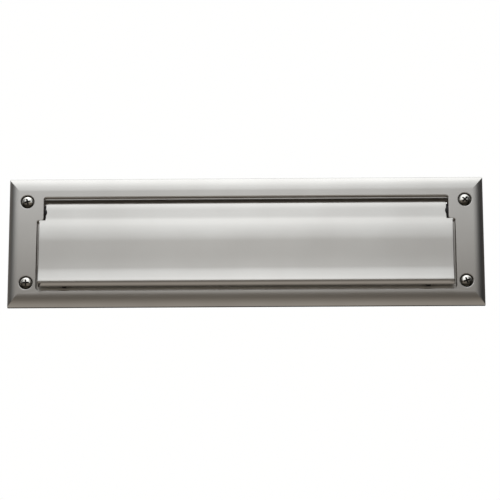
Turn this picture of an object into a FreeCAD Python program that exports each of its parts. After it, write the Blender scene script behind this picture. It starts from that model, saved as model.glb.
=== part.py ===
import FreeCAD, Part
import math
import os

from FreeCAD import Vector

# Letter plate for the outside of a door: a moulded face plate with a top-hinged flap that lifts outward.
# Millimetres. X runs along the plate, +Z is up, the front faces -Y.
# The origin is the centre of the plate's back face, the face that lies on the door.

# Face plate
PLATE_WIDTH = 330.2
PLATE_HEIGHT = 92.1
PLATE_THICKNESS = 5.2
LONG_ROLL_RADIUS = 15.5
LONG_ROLL_REACH = 9.5
SIDE_ROLL_RADIUS = 11.6
SIDE_ROLL_REACH = 7.4
OUTER_CORNER_RADIUS = 0.9

# Aperture, narrower at the top where the two ears hide the hinge lugs
APERTURE_HALF = 145.2
EAR_HALF = 140.7
APERTURE_TOP = 31.9
APERTURE_BOTTOM = -34.4
EAR_BOTTOM = 15.1
APERTURE_EDGE_ROUNDING = 0.8
APERTURE_TOP_RADIUS = 1.6
APERTURE_BOTTOM_RADIUS = 2.2
EAR_INNER_RADIUS = 1.8
EAR_OUTER_RADIUS = 1.0

# Back of the plate
RELIEF_DEPTH = 1.5
RIM_WIDTH = 5.0
APERTURE_BORDER = 4.2
BORDER_CORNER_RADIUS = 3.0
BOSS_RADIUS = 6.5
COLLAR_WALL = 2.2
COLLAR_DEPTH = 3.0
HOOD_DEPTH = 8.0
HOOD_BOTTOM = 30.6
HOOD_FRONT = -2.9
LEDGE_THICKNESS = 1.6
LEDGE_CORNER_RADIUS = 1.5
SIDE_LEDGE_WIDTH = 3.0
BOTTOM_LEDGE_WIDTH = 4.2
BUMPER_TAB_HALF = 5.0
BUMPER_TAB_TOP = -25.6

# Hinge
AXIS_Y = 2.4
AXIS_Z = 22.4
PIN_RADIUS = 2.0
PIN_HALF = 146.6
PIN_CHAMFER = 0.4
RUNNING_CLEARANCE = 0.05
LUG_OUTER = 144.4
LUG_BOTTOM = 16.6
LUG_CORNER_RADIUS = 2.5
GROOVE_RADIUS = 1.6
CLIP_THICKNESS = 0.6
CLIP_RADIUS = 3.4
CLIP_RING_WIDTH = 1.0
CLIP_TOOTH_WIDTH = 1.6
CLIP_MOUTH_WIDTH = 3.0
CLIP_GAP = 0.2
CLIP_ROOM_HALF = 4.4
WASHER_RADIUS = 5.3
WASHER_INNER = 139.5
WASHER_OUTER = 140.6
WASHER_NOTCH_ROOM = 0.15

# Flap
BARREL_RADIUS = 5.5
FLAP_HALF = 143.9
FLAP_NARROW_HALF = 139.4
FLAP_SHOULDER_TOP = 15.35
FLAP_TOP_RADIUS = 1.8
FLAP_SHOULDER_RADIUS = 0.8
FLAP_BOTTOM_RADIUS = 2.2
FLAP_WALL = 2.5
FLAP_TOP_MARGIN = 0.3
FLAP_BOTTOM_MARGIN = 0.5
SWING_CLEARANCE_RADIUS = 10.45
NOSE_RADIUS = 3.1
NOSE_BACK_LEAN = -205.0
# The flap's front, from its top edge down: where it starts and how far it leans there, then arcs as how far
# each one drops and the surface's lean at its end. The flap is solid for the first arcs and a wall of even
# thickness below them.
FLAP_FRONT_START = (-3.2, 27.6)
FLAP_START_LEAN = 24.0
FLAP_TOP_EDGE_RADIUS = 0.7
FLAP_ARCS = [
    (4.7, 8.0),
    (4.9, 8.4),
    (2.6, 19.0),
    (2.9, 18.0),
    (6.4, 7.0),
    (6.5, 1.5),
    (10.8, 2.0),
    (8.6, 3.8),
    (3.4, 11.5),
    (5.3, 18.0),
]
SOLID_ARCS = 2
THIN_ARCS = 7
FIN_THICKNESS = 1.6
FIN_FOOT = 26.8
FIN_TOP = 30.0
FIN_TIP_FRONT = 0.4
FIN_TIP_RADIUS = 0.7
FIN_HALF = 140.4
NOTCH_RADIUS = 4.0
NOTCH_DEPTH = 0.7
NOTCH_Z = 21.2

# Torsion springs, one at each end of the hinge. SPRING_REST is the y and z span, from the hinge axis, of the
# bar that a spring's short leg pushes against.
POCKET_RADIUS = 4.2
POCKET_START = 119.5
SPRING_START = 121.5
SPRING_WIRE_RADIUS = 0.5
SPRING_COIL_RADIUS = 2.8
SPRING_TURNS = 9
SPRING_PITCH = 1.3
FLAP_LEG_LEAN = 4.2
FLAP_LEG_LENGTH = 7.0
PLATE_LEG_LEAN = 20.0
PLATE_LEG_LENGTH = 6.4
SPRING_REST_START = 131.5
SPRING_REST = (2.45, 3.58, -5.2, -3.2)

# Fixings and bumpers
SCREW_X = 152.4
SCREW_Z = 29.0
SCREW_TURNS = {(-1, 1): 13.0, (1, 1): 45.0, (-1, -1): 2.0, (1, -1): 20.0}
COUNTERSINK_RADIUS = 4.9
COUNTERSINK_HALF_ANGLE = 41.0
SCREW_HOLE_RADIUS = 2.25
HEAD_RADIUS = 4.2
HEAD_RISE = 1.55
HEAD_SEAT_GAP = 0.06
NECK_RADIUS = 1.85
SHANK_RADIUS = 2.08
SHANK_START = 0.4
SHANK_END = 8.4
THREAD_ROOT_RADIUS = 1.45
THREAD_PITCH = 1.6
THREAD_TURNS = 10
THREAD_RUN_IN = 0.3
THREAD_ROOT_END = 0.9
THREAD_CREST_START = 1.4
TIP_LENGTH = 3.6
RECESS_DEPTH = 2.2
RECESS_TOP_HALF = 2.6
RECESS_FLOOR_HALF = 0.9
RECESS_WIDTH = 1.15
BUMPER_X = 126.0
BUMPER_RADIUS = 2.5
BUMPER_EDGE_RADIUS = 0.6
BUMPER_STEM_RADIUS = 1.4
BUMPER_STEM_END = -0.1
BUMPER_GAP = 0.05

# Two places closer than this are the same, and nothing reaches further forward or back than WHOLE_DEPTH.
SAME_PLACE = 1e-4
WHOLE_DEPTH = 30.0

ALONG_X = Vector(1, 0, 0)
ALONG_Y = Vector(0, 1, 0)
ALONG_Z = Vector(0, 0, 1)


def front_view(x, z):
    return Vector(x, 0, z)


def end_view(y, z):
    return Vector(0, y, z)


def top_view(y, x):
    return Vector(x, y, 0)


def polar(radius, angle):
    """Distances along and across for a radius turned through an angle in degrees."""
    return radius * math.cos(math.radians(angle)), radius * math.sin(math.radians(angle))


def rounded_wire(corners, place):
    """Closed outline through (a, b, radius) corners, each rounded to its own radius."""
    turns = []
    for index, (a, b, radius) in enumerate(corners):
        here = place(a, b)
        before = (place(*corners[index - 1][:2]) - here).normalize()
        after = (place(*corners[(index + 1) % len(corners)][:2]) - here).normalize()
        half = before.getAngle(after) / 2
        reach = radius / math.tan(half)
        middle = here + (before + after).normalize() * (radius / math.sin(half) - radius)
        turns.append((here + before * reach, middle, here + after * reach, radius))
    edges = []
    for index, (start, middle, end, radius) in enumerate(turns):
        if radius > 0:
            edges.append(Part.Arc(start, middle, end).toShape())
        edges.append(Part.makeLine(end, turns[(index + 1) % len(turns)][0]))
    return Part.Wire(edges)


def rectangle(low_a, high_a, low_b, high_b, radius=0.0):
    places = ((low_a, low_b), (high_a, low_b), (high_a, high_b), (low_a, high_b))
    return [(a, b, radius) for a, b in places]


def extrude(wire, direction, start, end):
    """Solid from a flat outline, running from start to end along a direction."""
    face = Part.Face(wire)
    face.translate(direction * start)
    return face.extrude(direction * (end - start))


def block(low_x, high_x, low_y, high_y, low_z, high_z):
    return Part.makeBox(high_x - low_x, high_y - low_y, high_z - low_z, Vector(low_x, low_y, low_z))


def rod(radius, low_x, high_x):
    """Cylinder on the hinge axis between two places along X."""
    return Part.makeCylinder(radius, high_x - low_x, Vector(low_x, AXIS_Y, AXIS_Z), ALONG_X)


def stud(radius, x, z, low_y, high_y):
    """Cylinder that runs front to back."""
    return Part.makeCylinder(radius, high_y - low_y, Vector(x, low_y, z), ALONG_Y)


def mirrored(shape):
    return shape.mirror(Vector(0, 0, 0), ALONG_X)


def on_side(shape, side):
    """A shape modelled for the right end if side is 1, or its mirror image for the left end if it is -1."""
    return shape if side > 0 else mirrored(shape)


# Face plate


def edge_profile(half, roll_radius, roll_reach, place):
    """Section across the plate: flat back, short edge walls, rolled edges and a flat face."""
    edge_turn = math.asin(roll_reach / roll_radius)
    roll_in = half - roll_reach
    middle_in = roll_in + roll_radius * math.sin(edge_turn / 2)
    face_y = -PLATE_THICKNESS
    wall_y = face_y + roll_radius * (1 - math.cos(edge_turn))
    middle_y = face_y + roll_radius * (1 - math.cos(edge_turn / 2))
    low_roll = (place(wall_y, -half), place(middle_y, -middle_in), place(face_y, -roll_in))
    high_roll = (place(face_y, roll_in), place(middle_y, middle_in), place(wall_y, half))
    return Part.Wire(
        [
            Part.makeLine(place(0, -half), low_roll[0]),
            Part.Arc(*low_roll).toShape(),
            Part.makeLine(low_roll[-1], high_roll[0]),
            Part.Arc(*high_roll).toShape(),
            Part.makeLine(high_roll[-1], place(0, half)),
            Part.makeLine(place(0, half), place(0, -half)),
        ]
    )


def plate_blank():
    """The moulded plate before it is pierced: its edges roll over on all sides and mitre at the corners."""
    half_width, half_height = PLATE_WIDTH / 2, PLATE_HEIGHT / 2
    long_profile = edge_profile(half_height, LONG_ROLL_RADIUS, LONG_ROLL_REACH, end_view)
    side_profile = edge_profile(half_width, SIDE_ROLL_RADIUS, SIDE_ROLL_REACH, top_view)
    along = extrude(long_profile, ALONG_X, -half_width, half_width)
    across = extrude(side_profile, ALONG_Z, -half_height, half_height)
    outline = rectangle(-half_width, half_width, -half_height, half_height, OUTER_CORNER_RADIUS)
    corners = extrude(rounded_wire(outline, front_view), ALONG_Y, -PLATE_THICKNESS - 1, 1)
    return along.common(across).common(corners)


def aperture_corners():
    return [
        (-APERTURE_HALF, APERTURE_BOTTOM, APERTURE_BOTTOM_RADIUS),
        (APERTURE_HALF, APERTURE_BOTTOM, APERTURE_BOTTOM_RADIUS),
        (APERTURE_HALF, EAR_BOTTOM, EAR_OUTER_RADIUS),
        (EAR_HALF, EAR_BOTTOM, EAR_INNER_RADIUS),
        (EAR_HALF, APERTURE_TOP, APERTURE_TOP_RADIUS),
        (-EAR_HALF, APERTURE_TOP, APERTURE_TOP_RADIUS),
        (-EAR_HALF, EAR_BOTTOM, EAR_INNER_RADIUS),
        (-APERTURE_HALF, EAR_BOTTOM, EAR_OUTER_RADIUS),
    ]


def aperture_edges(plate):
    """The edges where the aperture meets the plate's front face."""
    return [
        edge
        for edge in plate.Edges
        if edge.BoundBox.YMax < -PLATE_THICKNESS + SAME_PLACE
        and edge.BoundBox.XMax <= APERTURE_HALF + SAME_PLACE
        and edge.BoundBox.XMin >= -APERTURE_HALF - SAME_PLACE
        and edge.BoundBox.ZMax <= APERTURE_TOP + SAME_PLACE
        and edge.BoundBox.ZMin >= APERTURE_BOTTOM - SAME_PLACE
    ]


def back_relief():
    """Shallow hollow in the back, inside the rim, clear of the aperture's border and the screw bosses."""
    half_width, half_height = PLATE_WIDTH / 2 - RIM_WIDTH, PLATE_HEIGHT / 2 - RIM_WIDTH
    border_half = APERTURE_HALF + APERTURE_BORDER
    border_low, border_high = APERTURE_BOTTOM - APERTURE_BORDER, APERTURE_TOP + APERTURE_BORDER
    hollow = block(-half_width, half_width, -RELIEF_DEPTH, 1, -half_height, half_height)
    border = rectangle(-border_half, border_half, border_low, border_high, BORDER_CORNER_RADIUS)
    hollow = hollow.cut(extrude(rounded_wire(border, front_view), ALONG_Y, -RELIEF_DEPTH - 1, 2))
    for x in (-SCREW_X, SCREW_X):
        for z in (-SCREW_Z, SCREW_Z):
            hollow = hollow.cut(stud(BOSS_RADIUS, x, z, -RELIEF_DEPTH - 1, 2))
    return hollow


def collar():
    """Low wall behind the aperture's sides and bottom, which locates the plate in the door's slot."""
    outer_half = APERTURE_HALF + COLLAR_WALL
    outer = block(-outer_half, outer_half, 0, COLLAR_DEPTH, APERTURE_BOTTOM - COLLAR_WALL, LUG_BOTTOM)
    inner = block(-APERTURE_HALF, APERTURE_HALF, -1, COLLAR_DEPTH + 1, APERTURE_BOTTOM, LUG_BOTTOM + 1)
    return outer.cut(inner)


def hood():
    """Shelf over the hinge, with a lip inside the aperture's top edge, that keeps rain out of the gap."""
    top = APERTURE_TOP + COLLAR_WALL
    return block(-LUG_OUTER, LUG_OUTER, HOOD_FRONT, HOOD_DEPTH, HOOD_BOTTOM, top)


def hinge_lug(side):
    """Lug behind one ear that carries the end of the hinge pin, with the rest for the spring."""
    root, top = -1, APERTURE_TOP + COLLAR_WALL
    bottom_corners = [(root, LUG_BOTTOM, 0), (HOOD_DEPTH, LUG_BOTTOM, LUG_CORNER_RADIUS)]
    profile = bottom_corners + [(HOOD_DEPTH, top, 0), (root, top, 0)]
    lug = extrude(rounded_wire(profile, end_view), ALONG_X, EAR_HALF, LUG_OUTER)
    low_y, high_y, low_z, high_z = SPRING_REST
    rest = block(
        SPRING_REST_START, EAR_HALF + 1, AXIS_Y + low_y, AXIS_Y + high_y, AXIS_Z + low_z, AXIS_Z + high_z
    )
    return on_side(lug.fuse(rest), side)


def stop_ledge():
    """Ledge round the sides and bottom of the aperture, behind the flap, with a tab for each bumper."""
    outer = block(-APERTURE_HALF, APERTURE_HALF, -LEDGE_THICKNESS, 0, APERTURE_BOTTOM, EAR_BOTTOM)
    inner_half, inner_low = APERTURE_HALF - SIDE_LEDGE_WIDTH, APERTURE_BOTTOM + BOTTOM_LEDGE_WIDTH
    inner = rectangle(-inner_half, inner_half, inner_low, LUG_BOTTOM + 1, LEDGE_CORNER_RADIUS)
    ledge = outer.cut(extrude(rounded_wire(inner, front_view), ALONG_Y, -LEDGE_THICKNESS - 1, 1))
    for x in (-BUMPER_X, BUMPER_X):
        low_x, high_x = x - BUMPER_TAB_HALF, x + BUMPER_TAB_HALF
        tab = rectangle(low_x, high_x, APERTURE_BOTTOM - 1, BUMPER_TAB_TOP, LEDGE_CORNER_RADIUS)
        ledge = ledge.fuse(extrude(rounded_wire(tab, front_view), ALONG_Y, -LEDGE_THICKNESS, 0))
    return ledge


def countersunk_hole(x, z):
    depth = (COUNTERSINK_RADIUS - SCREW_HOLE_RADIUS) / math.tan(math.radians(COUNTERSINK_HALF_ANGLE))
    mouth = Vector(x, -PLATE_THICKNESS, z)
    cone = Part.makeCone(COUNTERSINK_RADIUS, SCREW_HOLE_RADIUS, depth, mouth, ALONG_Y)
    return cone.fuse(stud(SCREW_HOLE_RADIUS, x, z, -PLATE_THICKNESS, 1))


def make_face_plate():
    aperture = extrude(rounded_wire(aperture_corners(), front_view), ALONG_Y, -PLATE_THICKNESS - 1, 1)
    plate = plate_blank().cut(aperture)
    plate = plate.makeFillet(APERTURE_EDGE_ROUNDING, aperture_edges(plate))
    plate = plate.cut(back_relief())
    plate = plate.fuse([collar(), hood(), hinge_lug(1), hinge_lug(-1), stop_ledge()])
    for x in (-SCREW_X, SCREW_X):
        for z in (-SCREW_Z, SCREW_Z):
            plate = plate.cut(countersunk_hole(x, z))
    room_low, room_high = AXIS_Z - CLIP_ROOM_HALF, AXIS_Z + CLIP_ROOM_HALF
    clip_room = block(LUG_OUTER, APERTURE_HALF + COLLAR_WALL, -RELIEF_DEPTH, 1, room_low, room_high)
    for side in (-1, 1):
        plate = plate.cut(on_side(clip_room, side))
        bumper_hole = stud(BUMPER_STEM_RADIUS, side * BUMPER_X, nose_centre().z, -LEDGE_THICKNESS - 1, 1)
        plate = plate.cut(bumper_hole)
    plate = plate.cut(rod(PIN_RADIUS + RUNNING_CLEARANCE, -LUG_OUTER - 1, LUG_OUTER + 1))
    return plate.removeSplitter()


# Flap


def flap_stations():
    """Points (y, z, lean) down the flap's front: the start, then the middle and the end of each arc."""
    (y, z), lean = FLAP_FRONT_START, FLAP_START_LEAN
    stations = [(y, z, lean)]
    for drop, next_lean in FLAP_ARCS:
        forward, rise = polar(1, lean)
        scale = drop / (polar(1, next_lean)[1] - rise)
        for target in ((lean + next_lean) / 2, next_lean):
            target_forward, target_rise = polar(1, target)
            ahead, fallen = (forward - target_forward) * scale, (target_rise - rise) * scale
            stations.append((y - ahead, z - fallen, target))
        y, z, lean = stations[-1]
    return stations


def set_back(station, depth):
    """Point in the end view that lies a depth behind a station on the flap's front."""
    y, z, lean = station
    across, up = polar(depth, lean)
    return end_view(y + across, z - up)


def skin_arcs(stations, depth):
    points = [set_back(station, depth) for station in stations]
    return [Part.Arc(*points[first : first + 3]).toShape() for first in range(0, len(points) - 2, 2)]


def around(centre, radius, lean):
    """Point on a circle in the end view, where its outward normal leans up from the front."""
    across, up = polar(radius, lean)
    return centre + end_view(-across, up)


def arc_around(centre, radius, start_lean, end_lean):
    leans = (start_lean, (start_lean + end_lean) / 2, end_lean)
    return Part.Arc(*[around(centre, radius, lean) for lean in leans]).toShape()


def flap_top_lean(top_edge):
    """Lean of the flat top that touches both the rounding of the top edge and the barrel."""
    back, down = AXIS_Y - top_edge.y, top_edge.z - AXIS_Z
    reach = math.hypot(back, down)
    return math.degrees(math.atan2(down, back) + math.acos((BARREL_RADIUS - FLAP_TOP_EDGE_RADIUS) / reach))


def barrel_back_lean(station):
    """Lean on the barrel where the flap wall's inner side, carried straight up from a station, meets it."""
    y, z, lean = station
    across, up = polar(1, lean)
    wall_distance = (AXIS_Y - y) * across + (z - AXIS_Z) * up - FLAP_WALL
    return lean - math.degrees(math.acos(wall_distance / BARREL_RADIUS))


def nose_centre():
    return set_back(flap_stations()[-1], NOSE_RADIUS)


def flap_section():
    """The flap from the end: rounded top edge, ogee front, rounded nose, thin wall and barrel."""
    axis, nose = end_view(AXIS_Y, AXIS_Z), nose_centre()
    stations = flap_stations()
    thin_stations = stations[2 * SOLID_ARCS : 2 * (SOLID_ARCS + THIN_ARCS) + 1]
    top_edge = set_back(stations[0], FLAP_TOP_EDGE_RADIUS)
    top_lean = flap_top_lean(top_edge)
    back_lean = barrel_back_lean(thin_stations[0])
    nose_back = around(nose, NOSE_RADIUS, NOSE_BACK_LEAN)
    barrel_top, barrel_back = around(axis, BARREL_RADIUS, top_lean), around(axis, BARREL_RADIUS, back_lean)
    return Part.Wire(
        [Part.makeLine(barrel_top, around(top_edge, FLAP_TOP_EDGE_RADIUS, top_lean))]
        + [arc_around(top_edge, FLAP_TOP_EDGE_RADIUS, top_lean, FLAP_START_LEAN)]
        + skin_arcs(stations, 0)
        + [arc_around(nose, NOSE_RADIUS, stations[-1][2], NOSE_BACK_LEAN)]
        + [Part.makeLine(nose_back, set_back(thin_stations[-1], FLAP_WALL))]
        + skin_arcs(thin_stations, FLAP_WALL)[::-1]
        + [Part.makeLine(set_back(thin_stations[0], FLAP_WALL), barrel_back)]
        + [arc_around(axis, BARREL_RADIUS, back_lean, top_lean - 360)]
    )


def flap_outline():
    """The flap from the front: full width below the ears, narrower between them.

    The outline stands a little above and below the flap itself, so its corners are cut with soft ends.
    """
    top = AXIS_Z + BARREL_RADIUS + FLAP_TOP_MARGIN
    bottom = nose_centre().z - NOSE_RADIUS - FLAP_BOTTOM_MARGIN
    return [
        (-FLAP_HALF, bottom, FLAP_BOTTOM_RADIUS),
        (FLAP_HALF, bottom, FLAP_BOTTOM_RADIUS),
        (FLAP_HALF, FLAP_SHOULDER_TOP, FLAP_SHOULDER_RADIUS),
        (FLAP_NARROW_HALF, FLAP_SHOULDER_TOP, 0),
        (FLAP_NARROW_HALF, top, FLAP_TOP_RADIUS),
        (-FLAP_NARROW_HALF, top, FLAP_TOP_RADIUS),
        (-FLAP_NARROW_HALF, FLAP_SHOULDER_TOP, 0),
        (-FLAP_HALF, FLAP_SHOULDER_TOP, FLAP_SHOULDER_RADIUS),
    ]


def flap_fin():
    """Lip along the top of the barrel that closes the gap above the flap and takes the springs' push.

    Its ends reach over the spacer washers, which it clears.
    """
    back = AXIS_Y + FIN_THICKNESS
    feet = [(AXIS_Y, FIN_FOOT, 0), (back, FIN_FOOT, 0)]
    corners = feet + [(back, FIN_TOP, FIN_TIP_RADIUS), (FIN_TIP_FRONT, FIN_TOP, FIN_TIP_RADIUS)]
    fin = extrude(rounded_wire(corners, end_view), ALONG_X, -FIN_HALF, FIN_HALF)
    washer_room = rod(BARREL_RADIUS, FLAP_NARROW_HALF, FIN_HALF)
    return fin.cut(washer_room).cut(mirrored(washer_room))


def spring_pocket():
    """Hollow in one end of the barrel, open to the back, that the spring sits in."""
    end, reach = FLAP_NARROW_HALF + 1, BARREL_RADIUS + 1
    low_y, high_y = AXIS_Y + FIN_THICKNESS, AXIS_Y + reach
    open_back = block(POCKET_START, end, low_y, high_y, AXIS_Z - reach, AXIS_Z + reach)
    return rod(POCKET_RADIUS, POCKET_START, end).fuse(open_back)


def make_flap():
    flap = extrude(flap_section(), ALONG_X, -FLAP_HALF - 1, FLAP_HALF + 1)
    flap = flap.common(extrude(rounded_wire(flap_outline(), front_view), ALONG_Y, -WHOLE_DEPTH, WHOLE_DEPTH))
    flap = flap.fuse(flap_fin())
    notch_x = FLAP_NARROW_HALF - NOTCH_DEPTH + NOTCH_RADIUS
    for side in (-1, 1):
        flap = flap.cut(on_side(rod(SWING_CLEARANCE_RADIUS, FLAP_NARROW_HALF, FLAP_HALF + 1), side))
        flap = flap.cut(on_side(spring_pocket(), side))
        flap = flap.cut(stud(NOTCH_RADIUS, side * notch_x, NOTCH_Z, -WHOLE_DEPTH, AXIS_Y))
    flap = flap.cut(rod(PIN_RADIUS + RUNNING_CLEARANCE, -FLAP_HALF, FLAP_HALF))
    return flap.removeSplitter()


# Hinge parts


def make_hinge_pin():
    pin = rod(PIN_RADIUS, -PIN_HALF, PIN_HALF)
    rims = [edge for edge in pin.Edges if edge.Curve.TypeId == "Part::GeomCircle"]
    pin = pin.makeChamfer(PIN_CHAMFER, rims)
    inner = LUG_OUTER + CLIP_GAP - RUNNING_CLEARANCE
    groove = rod(PIN_RADIUS + 1, inner, inner + CLIP_THICKNESS + 2 * RUNNING_CLEARANCE)
    groove = groove.cut(rod(GROOVE_RADIUS, inner - 1, inner + CLIP_THICKNESS + 1))
    return pin.cut(groove).cut(mirrored(groove))


def make_retaining_clip(side):
    """E-shaped clip: a ring open at the bottom, with three teeth that sit in the pin's groove."""
    inner = LUG_OUTER + CLIP_GAP
    outer = inner + CLIP_THICKNESS
    clip = rod(CLIP_RADIUS, inner, outer).cut(rod(CLIP_RADIUS - CLIP_RING_WIDTH, inner, outer))
    half_tooth, half_mouth = CLIP_TOOTH_WIDTH / 2, CLIP_MOUTH_WIDTH / 2
    tooth_top = AXIS_Z + CLIP_RADIUS - CLIP_RING_WIDTH / 2
    tooth = block(inner, outer, AXIS_Y - half_tooth, AXIS_Y + half_tooth, AXIS_Z, tooth_top)
    for turn in (0, 120, 240):
        clip = clip.fuse(tooth.rotated(Vector(0, AXIS_Y, AXIS_Z), ALONG_X, turn))
    mouth_end = AXIS_Z - CLIP_RADIUS - 1
    mouth = block(inner, outer, AXIS_Y - half_mouth, AXIS_Y + half_mouth, mouth_end, AXIS_Z)
    clip = clip.cut(mouth).cut(rod(GROOVE_RADIUS + RUNNING_CLEARANCE, inner, outer))
    return on_side(clip.removeSplitter(), side)


def make_spacer_washer(side):
    """Thrust washer between the barrel and the lug, notched round the spring rest so that it can't turn."""
    ring = rod(WASHER_RADIUS, WASHER_INNER, WASHER_OUTER)
    ring = ring.cut(rod(PIN_RADIUS + RUNNING_CLEARANCE, WASHER_INNER, WASHER_OUTER))
    low_y, high_y, low_z, high_z = SPRING_REST
    low_y, high_y = AXIS_Y + low_y - WASHER_NOTCH_ROOM, AXIS_Y + high_y + WASHER_NOTCH_ROOM
    notch_top = AXIS_Z + high_z + WASHER_NOTCH_ROOM
    notch = block(WASHER_INNER, WASHER_OUTER, low_y, high_y, AXIS_Z - WASHER_RADIUS - 1, notch_top)
    return on_side(ring.cut(notch), side)


def coil_point(x, angle):
    """Point on the spring's centre line, at an angle round the axis from straight back towards up."""
    back, up = polar(SPRING_COIL_RADIUS, angle)
    return Vector(x, AXIS_Y + back, AXIS_Z + up)


def coil_heading(angle):
    """Way the wire runs along the coil at an angle round the axis, with the axis advance included."""
    across, along = polar(SPRING_COIL_RADIUS, angle)
    return Vector(SPRING_PITCH / (2 * math.pi), -along, across).normalize()


def make_torsion_spring(side):
    """Coil round the pin. One leg presses the fin forward, and the other pushes against the spring rest."""
    turn = (SPRING_TURNS * 360 + FLAP_LEG_LEAN - PLATE_LEG_LEAN) / 360
    start_x = -SPRING_START - turn * SPRING_PITCH
    helix = Part.makeHelix(SPRING_PITCH, turn * SPRING_PITCH, SPRING_COIL_RADIUS)
    helix.rotate(Vector(0, 0, 0), ALONG_Z, PLATE_LEG_LEAN)
    helix.rotate(Vector(0, 0, 0), Vector(1, 1, 1), 120)
    helix.translate(Vector(start_x, AXIS_Y, AXIS_Z))
    start, end = coil_point(start_x, PLATE_LEG_LEAN), coil_point(-SPRING_START, FLAP_LEG_LEAN)
    start_heading, end_heading = coil_heading(PLATE_LEG_LEAN), coil_heading(FLAP_LEG_LEAN)
    section = Part.Wire(Part.makeCircle(SPRING_WIRE_RADIUS, start, start_heading))
    coil = Part.Wire(helix).makePipeShell([section], True, True)
    plate_leg = Part.makeCylinder(SPRING_WIRE_RADIUS, PLATE_LEG_LENGTH, start, start_heading * -1)
    flap_leg = Part.makeCylinder(SPRING_WIRE_RADIUS, FLAP_LEG_LENGTH, end, end_heading)
    return on_side(coil.fuse([plate_leg, flap_leg]), -side)


# Fixings and bumpers


def recess_arm():
    """One slot of the screw's cross recess, narrower at its floor, centred on the head's crown."""
    outline = Part.makePolygon(
        [
            Vector(-RECESS_TOP_HALF, -1, 0),
            Vector(-RECESS_TOP_HALF, 0, 0),
            Vector(-RECESS_FLOOR_HALF, RECESS_DEPTH, 0),
            Vector(RECESS_FLOOR_HALF, RECESS_DEPTH, 0),
            Vector(RECESS_TOP_HALF, 0, 0),
            Vector(RECESS_TOP_HALF, -1, 0),
            Vector(-RECESS_TOP_HALF, -1, 0),
        ]
    )
    return extrude(outline, ALONG_Z, -RECESS_WIDTH / 2, RECESS_WIDTH / 2)


def screw_profile():
    """Half section of the screw as (radius, y) from the crown's rim to the tip, and the rim's own y."""
    taper = math.tan(math.radians(COUNTERSINK_HALF_ANGLE))
    rim_y = -PLATE_THICKNESS + (COUNTERSINK_RADIUS - HEAD_RADIUS) / taper - HEAD_SEAT_GAP
    points = [(HEAD_RADIUS, rim_y), (NECK_RADIUS, rim_y + (HEAD_RADIUS - NECK_RADIUS) / taper)]
    points += [(NECK_RADIUS, SHANK_START), (SHANK_RADIUS, SHANK_START), (SHANK_RADIUS, SHANK_END)]
    for turn in range(THREAD_TURNS):
        start = SHANK_END + turn * THREAD_PITCH
        points.append((THREAD_ROOT_RADIUS, start + THREAD_RUN_IN))
        points.append((THREAD_ROOT_RADIUS, start + THREAD_ROOT_END))
        points.append((SHANK_RADIUS, start + THREAD_CREST_START))
        points.append((SHANK_RADIUS, start + THREAD_PITCH))
    thread_end = SHANK_END + THREAD_TURNS * THREAD_PITCH
    points += [(THREAD_ROOT_RADIUS, thread_end + THREAD_RUN_IN), (0, thread_end + TIP_LENGTH)]
    return rim_y, points


def make_screw():
    """Oval-head wood screw on the Y axis: domed crown with a cross recess, tapered seat and thread."""
    rim_y, points = screw_profile()
    crown_y = rim_y - HEAD_RISE
    crown_radius = (HEAD_RADIUS**2 + HEAD_RISE**2) / (2 * HEAD_RISE)
    half_turn = math.degrees(math.asin(HEAD_RADIUS / crown_radius)) / 2
    forward, out = polar(crown_radius, half_turn)
    crown = Part.Arc(
        Vector(0, crown_y, 0),
        Vector(out, crown_y + crown_radius - forward, 0),
        Vector(HEAD_RADIUS, rim_y, 0),
    ).toShape()
    path = [Vector(radius, y, 0) for radius, y in points] + [Vector(0, crown_y, 0)]
    sides = [Part.makeLine(first, second) for first, second in zip(path, path[1:])]
    screw = Part.Face(Part.Wire([crown] + sides)).revolve(Vector(0, 0, 0), ALONG_Y, 360)
    arm = recess_arm()
    arm.translate(Vector(0, crown_y, 0))
    return screw.cut(arm).cut(arm.rotated(Vector(0, 0, 0), ALONG_Y, 90))


def make_mounting_screws():
    """The four screws, each turned to its own angle as a hand-driven screw is."""
    screw = make_screw()
    placed = []
    for (across, up), turn in SCREW_TURNS.items():
        copy = screw.rotated(Vector(0, 0, 0), ALONG_Y, -turn)
        copy.translate(Vector(across * SCREW_X, 0, up * SCREW_Z))
        placed.append(copy)
    return Part.makeCompound(placed)


def make_bumper(side):
    """Rubber bumper that the flap's nose closes on, with a stem pushed into the ledge's tab."""
    nose = nose_centre()
    front = nose.y + NOSE_RADIUS + BUMPER_GAP
    x = side * BUMPER_X
    head = stud(BUMPER_RADIUS, x, nose.z, front, -LEDGE_THICKNESS)
    rim = [edge for edge in head.Edges if abs(edge.BoundBox.YMax - front) < SAME_PLACE]
    head = head.makeFillet(BUMPER_EDGE_RADIUS, rim)
    stem = stud(BUMPER_STEM_RADIUS - RUNNING_CLEARANCE, x, nose.z, -LEDGE_THICKNESS, BUMPER_STEM_END)
    return head.fuse(stem).removeSplitter()


def main():
    parts = {
        "face_plate": make_face_plate(),
        "flap": make_flap(),
        "hinge_pin": make_hinge_pin(),
        "mounting_screws": make_mounting_screws(),
    }
    for name, side in (("left", -1), ("right", 1)):
        parts[f"torsion_spring_{name}"] = make_torsion_spring(side)
        parts[f"spacer_washer_{name}"] = make_spacer_washer(side)
        parts[f"retaining_clip_{name}"] = make_retaining_clip(side)
        parts[f"flap_bumper_{name}"] = make_bumper(side)
    os.makedirs("parts", exist_ok=True)
    for name, shape in parts.items():
        state = "valid" if shape.isValid() else "NOT VALID"
        print(name, state, len(shape.Solids), round(shape.Volume, 1))
        shape.exportStep(f"parts/{name}.step")


main()
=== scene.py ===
import math

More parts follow.
